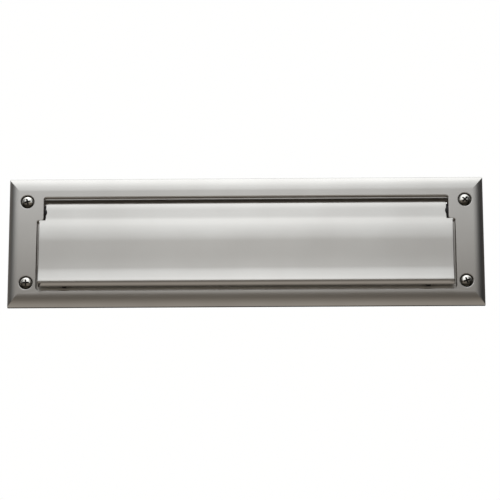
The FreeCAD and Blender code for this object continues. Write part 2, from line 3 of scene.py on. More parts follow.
import bmesh
import bpy
from mathutils import Matrix, Vector
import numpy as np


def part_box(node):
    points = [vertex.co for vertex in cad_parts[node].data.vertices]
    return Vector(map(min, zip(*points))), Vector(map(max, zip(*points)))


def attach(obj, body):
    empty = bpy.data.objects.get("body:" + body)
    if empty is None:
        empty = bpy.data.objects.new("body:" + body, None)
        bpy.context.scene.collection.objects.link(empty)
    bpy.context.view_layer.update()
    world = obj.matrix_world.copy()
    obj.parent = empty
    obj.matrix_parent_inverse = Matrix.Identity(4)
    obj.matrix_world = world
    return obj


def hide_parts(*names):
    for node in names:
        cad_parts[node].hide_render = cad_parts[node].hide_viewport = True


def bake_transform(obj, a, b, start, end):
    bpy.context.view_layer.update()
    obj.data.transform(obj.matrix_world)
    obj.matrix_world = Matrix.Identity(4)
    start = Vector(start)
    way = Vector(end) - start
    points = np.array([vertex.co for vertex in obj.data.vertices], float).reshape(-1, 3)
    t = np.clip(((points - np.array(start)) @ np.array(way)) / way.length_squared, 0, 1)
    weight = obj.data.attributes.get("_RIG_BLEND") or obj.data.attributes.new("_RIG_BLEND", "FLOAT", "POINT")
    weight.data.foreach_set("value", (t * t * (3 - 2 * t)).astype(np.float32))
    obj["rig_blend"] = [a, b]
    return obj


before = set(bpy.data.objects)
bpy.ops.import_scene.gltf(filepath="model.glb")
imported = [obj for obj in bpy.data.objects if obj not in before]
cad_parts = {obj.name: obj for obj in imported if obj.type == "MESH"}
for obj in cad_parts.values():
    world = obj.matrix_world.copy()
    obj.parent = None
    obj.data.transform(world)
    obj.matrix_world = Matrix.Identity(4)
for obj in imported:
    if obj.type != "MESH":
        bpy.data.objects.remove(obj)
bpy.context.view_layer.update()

# Looks of a satin nickel letter plate. Shapes are built in millimetres, in the frame's own directions, and
# turned into metres when they become a piece: X runs along the plate, Z is up and the front faces -Y.
MM = 0.001


def node_box(name):
    """Lowest and highest corner of a CAD node in millimetres."""
    low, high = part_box(name)
    return low / MM, high / MM


# Sizes read from the frame
PLATE_LOW, PLATE_HIGH = node_box("face_plate")
PIN_LOW, PIN_HIGH = node_box("hinge_pin")
FLAP_HIGH = node_box("flap")[1]
FACE_Y = PLATE_LOW.y
HALF_WIDTH = PLATE_HIGH.x
HALF_HEIGHT = PLATE_HIGH.z
HOOD_BACK = PLATE_HIGH.y
AXIS_Y = (PIN_LOW.y + PIN_HIGH.y) / 2
AXIS_Z = (PIN_LOW.z + PIN_HIGH.z) / 2
PIN_RADIUS = (PIN_HIGH.z - PIN_LOW.z) / 2
FLAP_HALF = FLAP_HIGH.x
FIN_TOP = FLAP_HIGH.z

# Face plate, and its aperture, which is narrower at the top where the two ears hide the hinge lugs. A mitre
# runs both sideways and up by more than MITRE_SLANT, and starts within MITRE_MARGIN of the start of the rolls.
LONG_ROLL_RADIUS = 15.5
LONG_ROLL_REACH = 9.5
SIDE_ROLL_RADIUS = 11.6
SIDE_ROLL_REACH = 7.4
MITRE_MARGIN = 1.0
MITRE_SLANT = 0.02
FACE_EDGE_ROUNDING = 0.3
APERTURE_EDGE_ROUNDING = 0.8
APERTURE_HALF = 145.2
EAR_HALF = 140.7
APERTURE_TOP = 31.9
APERTURE_BOTTOM = -34.4
EAR_BOTTOM = 15.1
APERTURE_TOP_RADIUS = 1.6
APERTURE_BOTTOM_RADIUS = 2.2
EAR_INNER_RADIUS = 1.8
EAR_OUTER_RADIUS = 1.0

# Back of the plate. The stop ledge's sides are divided LEDGE_DIVISION above its bottom and below the ears.
RELIEF_DEPTH = 1.5
RELIEF_CORNER_RADIUS = 1.5
RIM_WIDTH = 5.0
APERTURE_BORDER = 4.2
BORDER_CORNER_RADIUS = 3.0
BOSS_RADIUS = 6.5
COLLAR_WALL = 2.2
COLLAR_DEPTH = 3.0
LEDGE_THICKNESS = 1.6
LEDGE_CORNER_RADIUS = 1.5
SIDE_LEDGE_WIDTH = 3.0
BOTTOM_LEDGE_WIDTH = 4.2
LEDGE_DIVISION = 6.0
BUMPER_X = 126.0
BUMPER_TAB_HALF = 5.0
BUMPER_TAB_TOP = -25.6
HOOD_BOTTOM = 30.6
HOOD_FRONT = -2.9
LUG_OUTER = 144.4
LUG_BOTTOM = 16.6
LUG_CORNER_RADIUS = 2.5
CLIP_ROOM_HALF = 4.4
RUNNING_CLEARANCE = 0.05

# Flap. An edge within SHOULDER_MARGIN of the shoulder is by an ear, and one within FRONT_MARGIN of the front
# surface is a front edge.
BARREL_RADIUS = 5.5
FLAP_NARROW_HALF = 139.4
FLAP_SHOULDER_TOP = 15.35
FLAP_TOP_RADIUS = 1.8
FLAP_SHOULDER_RADIUS = 0.8
FLAP_BOTTOM_RADIUS = 2.2
FLAP_WALL = 2.5
FLAP_TOP_MARGIN = 0.3
FLAP_BOTTOM_MARGIN = 0.5
SHOULDER_MARGIN = 1.2
FRONT_MARGIN = 0.2
FLAP_END_ROUNDING = 0.7
FLAP_END_START = 136.0
FLAP_CORNER_START = 141.3
SWING_CLEARANCE_RADIUS = 10.45
NOSE_RADIUS = 3.1
NOSE_BACK_LEAN = -205.0
# The flap's front, from its top edge down: where it starts and how far it leans there, then arcs as how far
# each one drops and the surface's lean at its end. The flap is solid for the first arcs and a wall of even
# thickness below them.
FLAP_FRONT_START = (-3.2, 27.6)
FLAP_START_LEAN = 24.0
FLAP_TOP_EDGE_RADIUS = 0.7
FLAP_ARCS = [
    (4.7, 8.0),
    (4.9, 8.4),
    (2.6, 19.0),
    (2.9, 18.0),
    (6.4, 7.0),
    (6.5, 1.5),
    (10.8, 2.0),
    (8.6, 3.8),
    (3.4, 11.5),
    (5.3, 18.0),
]
SOLID_ARCS = 2
THIN_ARCS = 7
FIN_THICKNESS = 1.6
FIN_FOOT_RISE = 4.4
FIN_TIP_RADIUS = 0.7
FIN_HALF = 140.4
FIN_TIP_FRONT = 0.4
NOTCH_RADIUS = 4.0
NOTCH_DEPTH = 0.7
NOTCH_Z = 21.2

# Torsion springs, one at each end of the hinge. LEG_SHARES are places along a leg, out from the coil.
# SPRING_REST is the y and z span, from the hinge axis, of the bar that the short leg pushes against.
POCKET_RADIUS = 4.2
POCKET_START = 119.5
SPRING_START = 121.5
SPRING_WIRE_RADIUS = 0.5
SPRING_COIL_RADIUS = 2.8
SPRING_TURNS = 9
SPRING_PITCH = 1.3
FLAP_LEG_LEAN = 4.2
FLAP_LEG_LENGTH = 7.0
PLATE_LEG_LEAN = 20.0
PLATE_LEG_LENGTH = 6.4
LEG_SHARES = (0.33, 0.66, 1)
WIRE_END_LENGTH = 0.35
WIRE_END_SHARE = 0.65
SPRING_REST_START = 131.5
SPRING_REST = (2.45, 3.58, -5.2, -3.2)

# Screws
SCREW_X = 152.4
SCREW_Z = 29.0
SCREW_TURNS = {(-1, 1): 13.0, (1, 1): 45.0, (-1, -1): 2.0, (1, -1): 20.0}
COUNTERSINK_RADIUS = 4.9
COUNTERSINK_SLOPE = math.tan(math.radians(41.0))
SCREW_HOLE_RADIUS = 2.25
HEAD_RADIUS = 4.2
HEAD_RISE = 1.55
HEAD_RIM_ROUNDING = 0.12
NECK_RADIUS = 1.85
NECK_ROUNDING = 0.3
SHANK_RADIUS = 2.08
SHANK_START = 0.4
SHANK_START_ROUNDING = 0.1
SHANK_END = 8.4
SHANK_END_ROUNDING = 0.15
THREAD_ROOT_RADIUS = 1.45
THREAD_PITCH = 1.6
THREAD_TURNS = 10
THREAD_RIDGE_HALF = 0.3
THREAD_OVERLAP = 0.5
TIP_LENGTH = 3.6
RECESS_DEPTH = 2.2
RECESS_TOP_HALF = 2.6
RECESS_FLOOR_HALF = 0.9
RECESS_WIDTH = 1.15
RECESS_CORNER_RADIUS = 0.2
HEAD_SEAT_GAP = 0.06
RIM_Y = FACE_Y + (COUNTERSINK_RADIUS - HEAD_RADIUS) / COUNTERSINK_SLOPE - HEAD_SEAT_GAP
CROWN_Y = RIM_Y - HEAD_RISE
CROWN_RADIUS = (HEAD_RADIUS**2 + HEAD_RISE**2) / (2 * HEAD_RISE)

# Solids that are joined reach INTO_PLATE, and those that cut run BEYOND what they cut. Nothing reaches
# further forward or back than WHOLE_DEPTH. Points closer than SAME_PLACE are one point, and an edge or face
# within ON_SURFACE of a surface lies on it.
INTO_PLATE = 1.0
BEYOND = 1.0
WHOLE_DEPTH = 30.0
SAME_PLACE = 0.002
ON_SURFACE = 0.01

# Edges that turn by more than EDGE_ANGLE may be broken or rounded. Above SHADING_ANGLE they are shaded sharp.
EDGE_ANGLE = 30.0
SHADING_ANGLE = 35.0
BROKEN_EDGE = 0.25
BEVEL_SEGMENTS = 4

# Fineness of curves: steps along them, or segments round them
ROLL_STEPS = 28
ARC_STEPS = 8
TOP_EDGE_STEPS = 12
NOSE_STEPS = 40
BARREL_STEPS = 64
SWING_SEGMENTS = 160
CROWN_STEPS = 14
SCREW_SEGMENTS = 64
THREAD_SEGMENTS = 36
THREAD_ROWS = 12
COIL_STEPS = 40
WIRE_SIDES = 12


# Outlines


def polar(radius, angle):
    """Distances along and across for a radius turned through an angle in degrees."""
    return radius * math.cos(math.radians(angle)), radius * math.sin(math.radians(angle))


def rounded(corners, steps=6):
    """Outline points through (a, b, radius) corners, each rounded to its own radius."""
    points = []
    for index, (a, b, radius) in enumerate(corners):
        here = Vector((a, b))
        before = (Vector(corners[index - 1][:2]) - here).normalized()
        after = (Vector(corners[(index + 1) % len(corners)][:2]) - here).normalized()
        if radius == 0:
            points.append(here)
            continue
        half = before.angle(after) / 2
        centre = here + (before + after).normalized() * (radius / math.sin(half))
        start = here + before * (radius / math.tan(half)) - centre
        turn = start.angle_signed(here + after * (radius / math.tan(half)) - centre)
        for step in range(steps + 1):
            spin = Matrix.Rotation(-turn * step / steps, 2)
            points.append(centre + spin @ start)
    return points


def rectangle(low_a, high_a, low_b, high_b, radius=0.0):
    """Corners (a, b, radius) of a rectangle."""
    corners = [(low_a, low_b), (high_a, low_b), (high_a, high_b), (low_a, high_b)]
    return [(a, b, radius) for a, b in corners]


# Solids, in millimetres, as objects that are not pieces yet


def solid(bm):
    """Object from a closed mesh, with its faces turned outward."""
    bmesh.ops.recalc_face_normals(bm, faces=bm.faces)
    mesh = bpy.data.meshes.new("solid")
    bm.to_mesh(mesh)
    bm.free()
    obj = bpy.data.objects.new("solid", mesh)
    bpy.context.scene.collection.objects.link(obj)
    return obj


def loft(rings):
    """Closed mesh through rings of points that correspond one to one."""
    bm = bmesh.new()
    rows = [[bm.verts.new(point) for point in ring] for ring in rings]
    for lower, upper in zip(rows, rows[1:]):
        for index in range(len(lower)):
            after = (index + 1) % len(lower)
            bm.faces.new((lower[index], lower[after], upper[after], upper[index]))
    bm.faces.new(rows[0])
    bm.faces.new(rows[-1])
    return bm


def prism_y(outline, low, high):
    """Solid with a front-view outline, running front to back."""
    return solid(loft([[(point[0], y, point[1]) for point in outline] for y in (low, high)]))


def prism_x(outline, *places):
    """Solid with an end-view outline (y, z), running along the plate, with a ring of points at each place."""
    return solid(loft([[(x, point[0], point[1]) for point in outline] for x in places]))


def block(low_x, high_x, low_y, high_y, low_z, high_z):
    return prism_y(rectangle(low_x, high_x, low_z, high_z), low_y, high_y)


def turned(profile, place, segments=48):
    """Solid of revolution through (radius, along) points. place says where (out a, out b, along) goes."""
    bm = bmesh.new()
    rows = []
    for radius, along in profile:
        if radius == 0:
            rows.append([bm.verts.new(place(0, 0, along))])
            continue
        ring = []
        for step in range(segments):
            out_a, out_b = polar(radius, 360 * step / segments)
            ring.append(bm.verts.new(place(out_a, out_b, along)))
        rows.append(ring)
    for lower, upper in zip(rows, rows[1:]):
        for index in range(segments):
            after = (index + 1) % segments
            corners = [lower[index % len(lower)], lower[after % len(lower)]]
            corners += [upper[after % len(upper)], upper[index % len(upper)]]
            unique = list(dict.fromkeys(corners))
            if len(unique) > 2:
                bm.faces.new(unique)
    for row in (rows[0], rows[-1]):
        if len(row) > 1:
            bm.faces.new(row)
    return solid(bm)


def hinge_place(out_a, out_b, along):
    """Place on or around the hinge axis."""
    return Vector((along, AXIS_Y + out_a, AXIS_Z + out_b))


def front_to_back(x, z):
    """Function that gives places on or around a front-to-back axis through x and z."""
    return lambda out_a, out_b, along: Vector((x + out_a, along, z + out_b))


def rod(radius, low, high, segments=48):
    """Cylinder on the hinge axis."""
    return turned([(radius, low), (radius, high)], hinge_place, segments)


def stud(radius, x, z, low, high, segments=40):
    """Cylinder that runs front to back."""
    return turned([(radius, low), (radius, high)], front_to_back(x, z), segments)


def apply_modifiers(base):
    """Turns the modifiers of a base solid into its shape."""
    bpy.context.view_layer.update()
    shaped = base.evaluated_get(bpy.context.evaluated_depsgraph_get())
    mesh = bpy.data.meshes.new_from_object(shaped)
    base.modifiers.clear()
    base.data = mesh


def combine(base, operation, tools):
    """Adds, cuts or keeps the common part of a base solid and each tool in turn. The tools are used up."""
    for tool in tools:
        modifier = base.modifiers.new("combine", "BOOLEAN")
        modifier.operation = operation
        modifier.solver = "EXACT"
        modifier.object = tool
        apply_modifiers(base)
        bpy.data.objects.remove(tool)
    return base


def both_sides(make):
    """What make builds for the right end, and again for the left end."""
    return [make(1), make(-1)]


def side_span(side, inner, outer):
    """Two places along X, measured out from the middle on one side, as a low and a high."""
    return (inner, outer) if side > 0 else (-outer, -inner)


def weigh_edges(base, widths, cuts):
    """Divides faces at the heights in cuts, gives edges their share of the largest width and returns that."""
    bm = bmesh.new()
    bm.from_mesh(base.data)
    bmesh.ops.remove_doubles(bm, verts=bm.verts, dist=SAME_PLACE)
    bmesh.ops.dissolve_degenerate(bm, edges=bm.edges, dist=SAME_PLACE)
    for height in cuts:
        geometry = bm.verts[:] + bm.edges[:] + bm.faces[:]
        plane = {"plane_co": (0, 0, height), "plane_no": (0, 0, 1)}
        bmesh.ops.bisect_plane(bm, geom=geometry, dist=SAME_PLACE, **plane)
    layers = bm.edges.layers.float
    weights = layers.get("bevel_weight_edge") or layers.new("bevel_weight_edge")
    chosen = {edge: widths(edge) if len(edge.link_faces) == 2 else 0.0 for edge in bm.edges}
    largest = max(chosen.values())
    for edge, width in chosen.items():
        edge[weights] = width / largest
    bm.to_mesh(base.data)
    bm.free()
    return largest


def soften(base, widths, cuts=()):
    """Rounds each edge by its width, from widths(edge), in millimetres. A width of zero leaves it sharp.

    Large faces with a hollow side are first divided at the heights in cuts, which keeps them simple.
    """
    largest = weigh_edges(base, widths, cuts)
    modifier = base.modifiers.new("soften", "BEVEL")
    modifier.limit_method = "WEIGHT"
    modifier.width = largest
    modifier.segments = BEVEL_SEGMENTS
    modifier.use_clamp_overlap = False
    modifier.harden_normals = False
    apply_modifiers(base)
    return base


def is_sharp(edge):
    """Whether the surface turns sharply at an edge."""
    return edge.calc_face_angle(0.0) > math.radians(EDGE_ANGLE)


def piece(base, name, material, body, stands_for):
    """Turns a solid in millimetres into a named piece in metres that rides on a CAD body, if it has one.

    It replaces the CAD node that it stands for.
    """
    base.data.transform(Matrix.Scale(MM, 4))
    base.name = name
    base.data.name = name
    base.data.materials.clear()
    base.data.materials.append(material)
    base.data.shade_smooth()
    base.data.set_sharp_from_angle(angle=math.radians(SHADING_ANGLE))
    keep = base.modifiers.new("flat_faces", "WEIGHTED_NORMAL")
    keep.keep_sharp = True
    if body:
        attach(base, body)
    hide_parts(stands_for)
    return base


# Face plate


def roll_out(half, roll_radius, roll_reach, depth):
    """How far out the plate's surface lies at a depth behind its face, where the edge rolls over."""
    out = math.sqrt(max(roll_radius**2 - (roll_radius - depth) ** 2, 0))
    return min(half - roll_reach + out, half)


def roll_depth(roll_radius, roll_reach):
    """How far behind the face a rolled edge ends."""
    return roll_radius - math.sqrt(roll_radius**2 - roll_reach**2)


def plate_blank():
    """Plate before it is pierced, as rectangles at growing depths, so its rolled edges meet in mitres."""
    deepest = roll_depth(LONG_ROLL_RADIUS, LONG_ROLL_REACH)
    depths = [deepest * (step / ROLL_STEPS) ** 2 for step in range(ROLL_STEPS + 1)]
    depths.append(roll_depth(SIDE_ROLL_RADIUS, SIDE_ROLL_REACH))
    rings = []
    for depth in sorted(depths):
        half_x = roll_out(HALF_WIDTH, SIDE_ROLL_RADIUS, SIDE_ROLL_REACH, depth)
        half_z = roll_out(HALF_HEIGHT, LONG_ROLL_RADIUS, LONG_ROLL_REACH, depth)
        rings.append([(x, FACE_Y + depth, z) for x, z, _ in rectangle(-half_x, half_x, -half_z, half_z)])
    back = rectangle(-HALF_WIDTH, HALF_WIDTH, -HALF_HEIGHT, HALF_HEIGHT)
    return solid(loft(rings + [[(x, 0, z) for x, z, _ in back]]))


def aperture_outline(top, top_radius):
    """Outline of the aperture with its ears, up to a given top."""
    return rounded(
        [
            (-APERTURE_HALF, APERTURE_BOTTOM, APERTURE_BOTTOM_RADIUS),
            (APERTURE_HALF, APERTURE_BOTTOM, APERTURE_BOTTOM_RADIUS),
            (APERTURE_HALF, EAR_BOTTOM, EAR_OUTER_RADIUS),
            (EAR_HALF, EAR_BOTTOM, EAR_INNER_RADIUS),
            (EAR_HALF, top, top_radius),
            (-EAR_HALF, top, top_radius),
            (-EAR_HALF, EAR_BOTTOM, EAR_INNER_RADIUS),
            (-APERTURE_HALF, EAR_BOTTOM, EAR_OUTER_RADIUS),
        ]
    )


def screw_places():
    """Places (x, z) of the four screws."""
    return [(across * SCREW_X, up * SCREW_Z) for across, up in SCREW_TURNS]


def back_relief():
    """Shallow hollow in the back, inside the rim, clear of the aperture's border and the screw bosses."""
    half_x, half_z = HALF_WIDTH - RIM_WIDTH, HALF_HEIGHT - RIM_WIDTH
    border_half = APERTURE_HALF + APERTURE_BORDER
    low_z, high_z = APERTURE_BOTTOM - APERTURE_BORDER, APERTURE_TOP + APERTURE_BORDER
    inside_rim = rectangle(-half_x, half_x, -half_z, half_z, RELIEF_CORNER_RADIUS)
    round_aperture = rectangle(-border_half, border_half, low_z, high_z, BORDER_CORNER_RADIUS)
    hollow = prism_y(rounded(inside_rim), -RELIEF_DEPTH, BEYOND)
    kept_depths = (-RELIEF_DEPTH - BEYOND, 2 * BEYOND)
    border = prism_y(rounded(round_aperture), *kept_depths)
    bosses = [stud(BOSS_RADIUS, x, z, *kept_depths) for x, z in screw_places()]
    return combine(hollow, "DIFFERENCE", [border] + bosses)


def slot_collar():
    """Block behind the lower part of the aperture. Hollowed out, it leaves a low wall and the stop ledge."""
    half, bottom = APERTURE_HALF + COLLAR_WALL, APERTURE_BOTTOM - COLLAR_WALL
    return block(-half, half, -INTO_PLATE, COLLAR_DEPTH, bottom, LUG_BOTTOM)


def hinge_housing():
    """Block behind the top of the aperture. Hollowed out, it leaves the hood and the two hinge lugs."""
    top = APERTURE_TOP + COLLAR_WALL
    profile = [
        (-INTO_PLATE, LUG_BOTTOM, 0),
        (HOOD_BACK, LUG_BOTTOM, LUG_CORNER_RADIUS),
        (HOOD_BACK, top, 0),
        (-INTO_PLATE, top, 0),
    ]
    return prism_x(rounded(profile), -LUG_OUTER, LUG_OUTER)


def collar_inside():
    """Space behind the stop ledge."""
    return block(-APERTURE_HALF, APERTURE_HALF, 0, COLLAR_DEPTH + BEYOND, APERTURE_BOTTOM, LUG_BOTTOM)


def hinge_inside():
    """Space between the hinge lugs under the hood, open at the back."""
    low_y, high_y = -LEDGE_THICKNESS - BEYOND, HOOD_BACK + BEYOND
    return block(-EAR_HALF, EAR_HALF, low_y, high_y, LUG_BOTTOM - BEYOND, HOOD_BOTTOM)


def letter_opening():
    """Opening inside the stop ledge, narrower between the ears. It leaves a tab for each bumper."""
    half, bottom = APERTURE_HALF - SIDE_LEDGE_WIDTH, APERTURE_BOTTOM + BOTTOM_LEDGE_WIDTH
    corners = [
        (-half, bottom, LEDGE_CORNER_RADIUS),
        (half, bottom, LEDGE_CORNER_RADIUS),
        (half, EAR_BOTTOM, 0),
        (EAR_HALF, EAR_BOTTOM, 0),
        (EAR_HALF, LUG_BOTTOM, 0),
        (-EAR_HALF, LUG_BOTTOM, 0),
        (-EAR_HALF, EAR_BOTTOM, 0),
        (-half, EAR_BOTTOM, 0),
    ]
    opening = prism_y(rounded(corners), -LEDGE_THICKNESS - BEYOND, COLLAR_DEPTH + BEYOND)
    tabs = []
    for x in (-BUMPER_X, BUMPER_X):
        low_x, high_x = x - BUMPER_TAB_HALF, x + BUMPER_TAB_HALF
        tab = rectangle(low_x, high_x, APERTURE_BOTTOM, BUMPER_TAB_TOP, LEDGE_CORNER_RADIUS)
        tabs.append(prism_y(rounded(tab), -LEDGE_THICKNESS - 2 * BEYOND, COLLAR_DEPTH + 2 * BEYOND))
    return combine(opening, "DIFFERENCE", tabs)


def spring_rest(side):
    """Bar on the lug that the spring's short leg pushes against."""
    low, high = side_span(side, SPRING_REST_START, EAR_HALF + INTO_PLATE)
    low_y, high_y, low_z, high_z = SPRING_REST
    return block(low, high, AXIS_Y + low_y, AXIS_Y + high_y, AXIS_Z + low_z, AXIS_Z + high_z)


def screw_hole(x, z):
    """Countersink and clearance hole right through the plate."""
    depth = (COUNTERSINK_RADIUS - SCREW_HOLE_RADIUS) / COUNTERSINK_SLOPE
    profile = [
        (COUNTERSINK_RADIUS + BEYOND * COUNTERSINK_SLOPE, FACE_Y - BEYOND),
        (SCREW_HOLE_RADIUS, FACE_Y + depth),
        (SCREW_HOLE_RADIUS, BEYOND),
    ]
    return turned(profile, front_to_back(x, z), SCREW_SEGMENTS)


def plate_edge_width(edge):
    """The aperture's front edge is well rounded, edges behind the aperture stay sharp, others are broken."""
    first, last = edge.verts[0].co, edge.verts[1].co
    in_aperture = max(abs(first.x), abs(last.x)) < APERTURE_HALF + ON_SURFACE
    if not is_sharp(edge) or (in_aperture and min(first.y, last.y) > -LEDGE_THICKNESS - ON_SURFACE):
        return 0.0
    if max(first.y, last.y) > FACE_Y + ON_SURFACE:
        return BROKEN_EDGE
    return APERTURE_EDGE_ROUNDING if in_aperture else FACE_EDGE_ROUNDING


def clip_room(side):
    """Shallow pocket in the plate's back for the retaining clip."""
    low_x, high_x = side_span(side, LUG_OUTER, APERTURE_HALF + COLLAR_WALL)
    low_z, high_z = AXIS_Z - CLIP_ROOM_HALF, AXIS_Z + CLIP_ROOM_HALF
    return block(low_x, high_x, -RELIEF_DEPTH, BEYOND, low_z, high_z)


def build_face_plate():
    plate = plate_blank()
    combine(plate, "DIFFERENCE", [back_relief()])
    combine(plate, "UNION", [slot_collar(), hinge_housing()])
    front_outline = aperture_outline(APERTURE_TOP, APERTURE_TOP_RADIUS)
    inner_outline = aperture_outline(HOOD_BOTTOM, 0)
    front_opening = prism_y(front_outline, FACE_Y - BEYOND, HOOD_FRONT)
    inner_opening = prism_y(inner_outline, HOOD_FRONT - BEYOND, -LEDGE_THICKNESS)
    combine(plate, "DIFFERENCE", [front_opening, inner_opening])
    combine(plate, "DIFFERENCE", [hinge_inside(), collar_inside(), letter_opening()])
    combine(plate, "UNION", both_sides(spring_rest))
    combine(plate, "DIFFERENCE", both_sides(clip_room) + [screw_hole(x, z) for x, z in screw_places()])
    pin_hole = rod(PIN_RADIUS + RUNNING_CLEARANCE, -LUG_OUTER - BEYOND, LUG_OUTER + BEYOND)
    combine(plate, "DIFFERENCE", [pin_hole])
    low_cut = APERTURE_BOTTOM + BOTTOM_LEDGE_WIDTH + LEDGE_DIVISION
    return soften(plate, plate_edge_width, (low_cut, EAR_BOTTOM - LEDGE_DIVISION))


def crease_mitres(plate):
    """Keeps the mitres crisp all the way to the flat face, where they become very shallow."""
    mesh = plate.data
    inner_x = HALF_WIDTH - SIDE_ROLL_REACH - MITRE_MARGIN
    inner_z = HALF_HEIGHT - LONG_ROLL_REACH - MITRE_MARGIN
    for edge in mesh.edges:
        first, last = [mesh.vertices[index].co / MM for index in edge.vertices]
        diagonal = min(abs(first.x - last.x), abs(first.z - last.z)) > MITRE_SLANT
        in_corner = min(abs(first.x), abs(last.x)) > inner_x and min(abs(first.z), abs(last.z)) > inner_z
        if diagonal and in_corner and max(first.y, last.y) < FACE_Y / 2:
            edge.use_edge_sharp = True


# Flap


def flap_stations():
    """Points (y, z, lean) down the flap's front, several to each arc."""
    (y, z), lean = FLAP_FRONT_START, FLAP_START_LEAN
    stations = [(y, z, lean)]
    for drop, next_lean in FLAP_ARCS:
        forward, rise = polar(1, lean)
        scale = drop / (polar(1, next_lean)[1] - rise)
        for step in range(1, ARC_STEPS + 1):
            target = lean + (next_lean - lean) * step / ARC_STEPS
            ahead, up = polar(1, target)
            stations.append((y - (forward - ahead) * scale, z - (up - rise) * scale, target))
        y, z, lean = stations[-1]
    return stations


def set_back(station, depth):
    """Point (y, z) at a depth straight behind a station."""
    y, z, lean = station
    across, up = polar(depth, lean)
    return Vector((y + across, z - up))


def arc_around(centre, radius, start_lean, end_lean, steps):
    """Points (y, z) along an arc, from one lean to another."""
    points = []
    for step in range(steps + 1):
        across, up = polar(radius, start_lean + (end_lean - start_lean) * step / steps)
        points.append(centre + Vector((-across, up)))
    return points


def flap_top_lean(top_edge):
    """Lean of the flat top that touches both the rounding of the top edge and the barrel."""
    back, down = AXIS_Y - top_edge.x, top_edge.y - AXIS_Z
    reach = math.hypot(back, down)
    return math.degrees(math.atan2(down, back) + math.acos((BARREL_RADIUS - FLAP_TOP_EDGE_RADIUS) / reach))


def barrel_back_lean(station):
    """Lean on the barrel where the inner side of the flap's wall, carried straight up, meets it."""
    y, z, lean = station
    across, up = polar(1, lean)
    wall_distance = (AXIS_Y - y) * across + (z - AXIS_Z) * up - FLAP_WALL
    return lean - math.degrees(math.acos(wall_distance / BARREL_RADIUS))


def flap_section():
    """The flap from the end: rounded top edge, ogee front, rounded nose, thin wall and barrel."""
    stations = flap_stations()
    thin_stations = stations[ARC_STEPS * SOLID_ARCS : ARC_STEPS * (SOLID_ARCS + THIN_ARCS) + 1]
    top_edge = set_back(stations[0], FLAP_TOP_EDGE_RADIUS)
    top_lean = flap_top_lean(top_edge)
    nose = set_back(stations[-1], NOSE_RADIUS)
    outline = arc_around(top_edge, FLAP_TOP_EDGE_RADIUS, top_lean, FLAP_START_LEAN, TOP_EDGE_STEPS)[:-1]
    outline += [set_back(station, 0) for station in stations]
    outline += arc_around(nose, NOSE_RADIUS, stations[-1][2], NOSE_BACK_LEAN, NOSE_STEPS)[1:]
    outline += [set_back(station, FLAP_WALL) for station in thin_stations][::-1]
    axis, back_lean = Vector((AXIS_Y, AXIS_Z)), barrel_back_lean(thin_stations[0])
    outline += arc_around(axis, BARREL_RADIUS, back_lean, top_lean - 360, BARREL_STEPS)
    return outline


def flap_outline():
    """The flap from the front: full width below the ears, narrower between them."""
    top = AXIS_Z + BARREL_RADIUS + FLAP_TOP_MARGIN
    bottom = set_back(flap_stations()[-1], NOSE_RADIUS).y - NOSE_RADIUS - FLAP_BOTTOM_MARGIN
    return rounded(
        [
            (-FLAP_HALF, bottom, FLAP_BOTTOM_RADIUS),
            (FLAP_HALF, bottom, FLAP_BOTTOM_RADIUS),
            (FLAP_HALF, FLAP_SHOULDER_TOP, FLAP_SHOULDER_RADIUS),
            (FLAP_NARROW_HALF, FLAP_SHOULDER_TOP, 0),
            (FLAP_NARROW_HALF, top, FLAP_TOP_RADIUS),
            (-FLAP_NARROW_HALF, top, FLAP_TOP_RADIUS),
            (-FLAP_NARROW_HALF, FLAP_SHOULDER_TOP, 0),
            (-FLAP_HALF, FLAP_SHOULDER_TOP, FLAP_SHOULDER_RADIUS),
        ]
    )


def washer_room(side):
    """Room in the fin for the washer at the flap's end."""
    return rod(BARREL_RADIUS, *side_span(side, FLAP_NARROW_HALF, FIN_HALF + BEYOND))


def flap_fin():
    """Lip along the top of the barrel that closes the gap above the flap and takes the springs' push."""
    back, foot = AXIS_Y + FIN_THICKNESS, AXIS_Z + FIN_FOOT_RISE
    corners = [
        (AXIS_Y, foot, 0),
        (back, foot, 0),
        (back, FIN_TOP, FIN_TIP_RADIUS),
        (FIN_TIP_FRONT, FIN_TOP, FIN_TIP_RADIUS),
    ]
    fin = prism_x(rounded(corners), -FIN_HALF, -FLAP_END_START, FLAP_END_START, FIN_HALF)
    return combine(fin, "DIFFERENCE", both_sides(washer_room))


def front_y_at(z):
    """Where the flap's front surface lies at a height."""
    return min(flap_stations(), key=lambda station: abs(station[1] - z))[0]


def flap_edge_width(edge):
    """Front edges at the flap's ends are well rounded, those by the ears stay sharp, others are broken."""
    first, last = edge.verts[0].co, edge.verts[1].co
    middle_z, back_y = (first.z + last.z) / 2, max(first.y, last.y)
    by_ear = abs(middle_z - FLAP_SHOULDER_TOP) < SHOULDER_MARGIN and back_y < 0
    if not is_sharp(edge) or by_ear:
        return 0.0
    at_end = min(abs(first.x), abs(last.x)) > FLAP_HALF - ON_SURFACE
    if at_end and back_y < front_y_at(middle_z) + FRONT_MARGIN:
        return FLAP_END_ROUNDING
    return BROKEN_EDGE


def end_cuts(side):
    """What is cut from a flap's end: its swing past the ear, the spring's pocket and a shallow notch."""
    swing_span = side_span(side, FLAP_NARROW_HALF, FLAP_HALF + BEYOND)
    pocket_span = side_span(side, POCKET_START, FLAP_NARROW_HALF + BEYOND)
    back, reach = AXIS_Y + FIN_THICKNESS, BARREL_RADIUS + BEYOND
    notch_x = side * (FLAP_NARROW_HALF - NOTCH_DEPTH + NOTCH_RADIUS)
    swing = rod(SWING_CLEARANCE_RADIUS, *swing_span, SWING_SEGMENTS)
    pocket = rod(POCKET_RADIUS, *pocket_span)
    open_back = block(*pocket_span, back, AXIS_Y + reach, AXIS_Z - reach, AXIS_Z + reach)
    notch = stud(NOTCH_RADIUS, notch_x, NOTCH_Z, -WHOLE_DEPTH, AXIS_Y)
    return [swing, pocket, open_back, notch]


